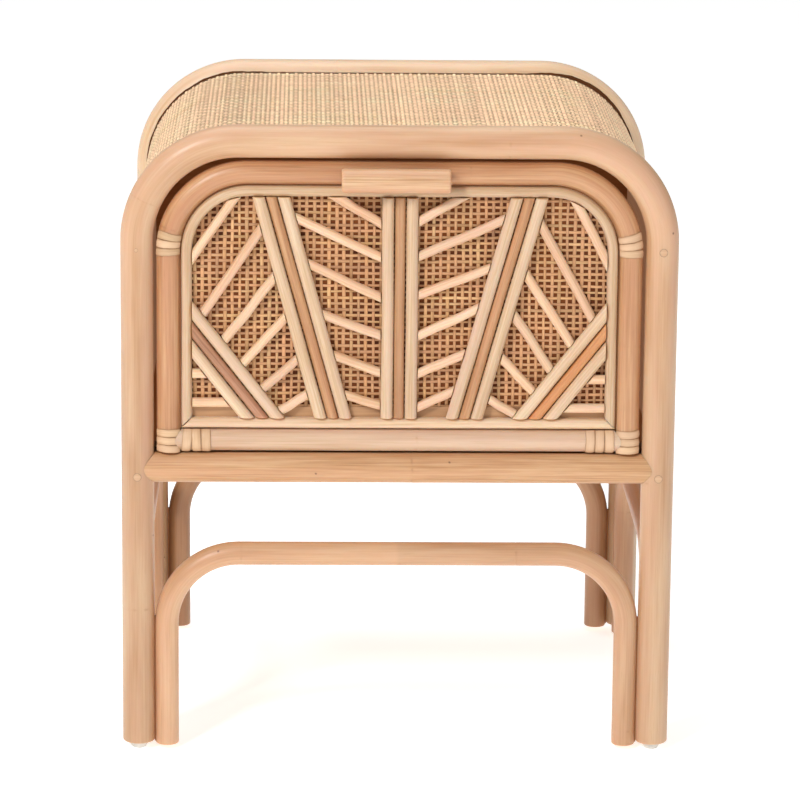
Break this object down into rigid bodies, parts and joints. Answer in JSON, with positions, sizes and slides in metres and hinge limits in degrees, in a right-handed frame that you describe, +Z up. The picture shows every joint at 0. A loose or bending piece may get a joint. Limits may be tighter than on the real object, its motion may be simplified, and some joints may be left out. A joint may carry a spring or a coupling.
{
  "type": "side table with drawer",
  "caption": "Small bedside table of bent poles with a woven arched case, one drawer with a ray pattern front and an open base with arched braces.",
  "frame": {"origin": "on the floor, under the middle of the bounding box", "axes": "+Z up, the drawer faces -Y, +X to the right of someone who looks at the drawer front"},
  "size_m": [0.48, 0.4154, 0.555],
  "materials": {
    "rattan_pole": "peeled rattan pole, satin clear lacquer",
    "drawer_pole": "peeled rattan pole, slightly browner, satin clear lacquer",
    "light_cane": "pale rattan core, satin clear lacquer",
    "tan_cane": "tan rattan core, satin clear lacquer",
    "cane_peel": "glossy flat rattan peel",
    "open_webbing": "open square weave of flat cane",
    "close_weave": "close plain weave of flat cane",
    "plywood": "stained plywood",
    "softwood": "planed softwood boards",
    "glide_plastic": "pale grey nylon",
    "wood_plug": "sanded end grain"
  },
  "bodies": {
    "frame": {"front_hoop": "rattan_pole", "back_hoop": "rattan_pole", "front_rail": "rattan_pole", "back_rail": "rattan_pole", "left_rail": "rattan_pole", "right_rail": "rattan_pole", "front_brace": "rattan_pole", "back_brace": "rattan_pole", "left_brace": "rattan_pole", "right_brace": "rattan_pole", "front_left_glide": "glide_plastic", "front_right_glide": "glide_plastic", "back_left_glide": "glide_plastic", "back_right_glide": "glide_plastic", "left_upper_plug": "wood_plug", "left_lower_plug": "wood_plug", "right_upper_plug": "wood_plug", "right_lower_plug": "wood_plug", "case_weave": "close_weave", "case_shell": "plywood", "case_front_reed": "light_cane", "back_panel": "plywood", "floor_panel": "plywood", "left_runner": "softwood", "right_runner": "softwood", "left_drawer_stop": "softwood", "right_drawer_stop": "softwood"},
    "drawer": {"drawer_hoop": "drawer_pole", "drawer_bottom_rail": "drawer_pole", "trim_hoop": "light_cane", "trim_bottom": "light_cane", "drawer_handle": "light_cane", "left_upright_binding": "cane_peel", "left_corner_binding": "cane_peel", "left_rail_binding": "cane_peel", "right_upright_binding": "cane_peel", "right_corner_binding": "cane_peel", "right_rail_binding": "cane_peel", "centre_cane_1": "light_cane", "centre_cane_2": "tan_cane", "centre_cane_3": "light_cane", "left_ray_cane_1": "light_cane", "left_ray_cane_2": "tan_cane", "left_ray_cane_3": "light_cane", "right_ray_cane_1": "light_cane", "right_ray_cane_2": "tan_cane", "right_ray_cane_3": "light_cane", "left_corner_cane_1": "light_cane", "left_corner_cane_2": "tan_cane", "left_corner_cane_3": "light_cane", "right_corner_cane_1": "light_cane", "right_corner_cane_2": "tan_cane", "right_corner_cane_3": "light_cane", "drawer_front_panel": "plywood", "drawer_webbing": "open_webbing", "drawer_left_side": "softwood", "drawer_right_side": "softwood", "drawer_bottom": "plywood", "drawer_back": "softwood"}
  },
  "joints": [
    {"name": "drawer_slide", "type": "slide", "parent": "frame", "child": "drawer", "axis": [0, -1, 0], "range_m": [0, 0.25]}
  ]
}
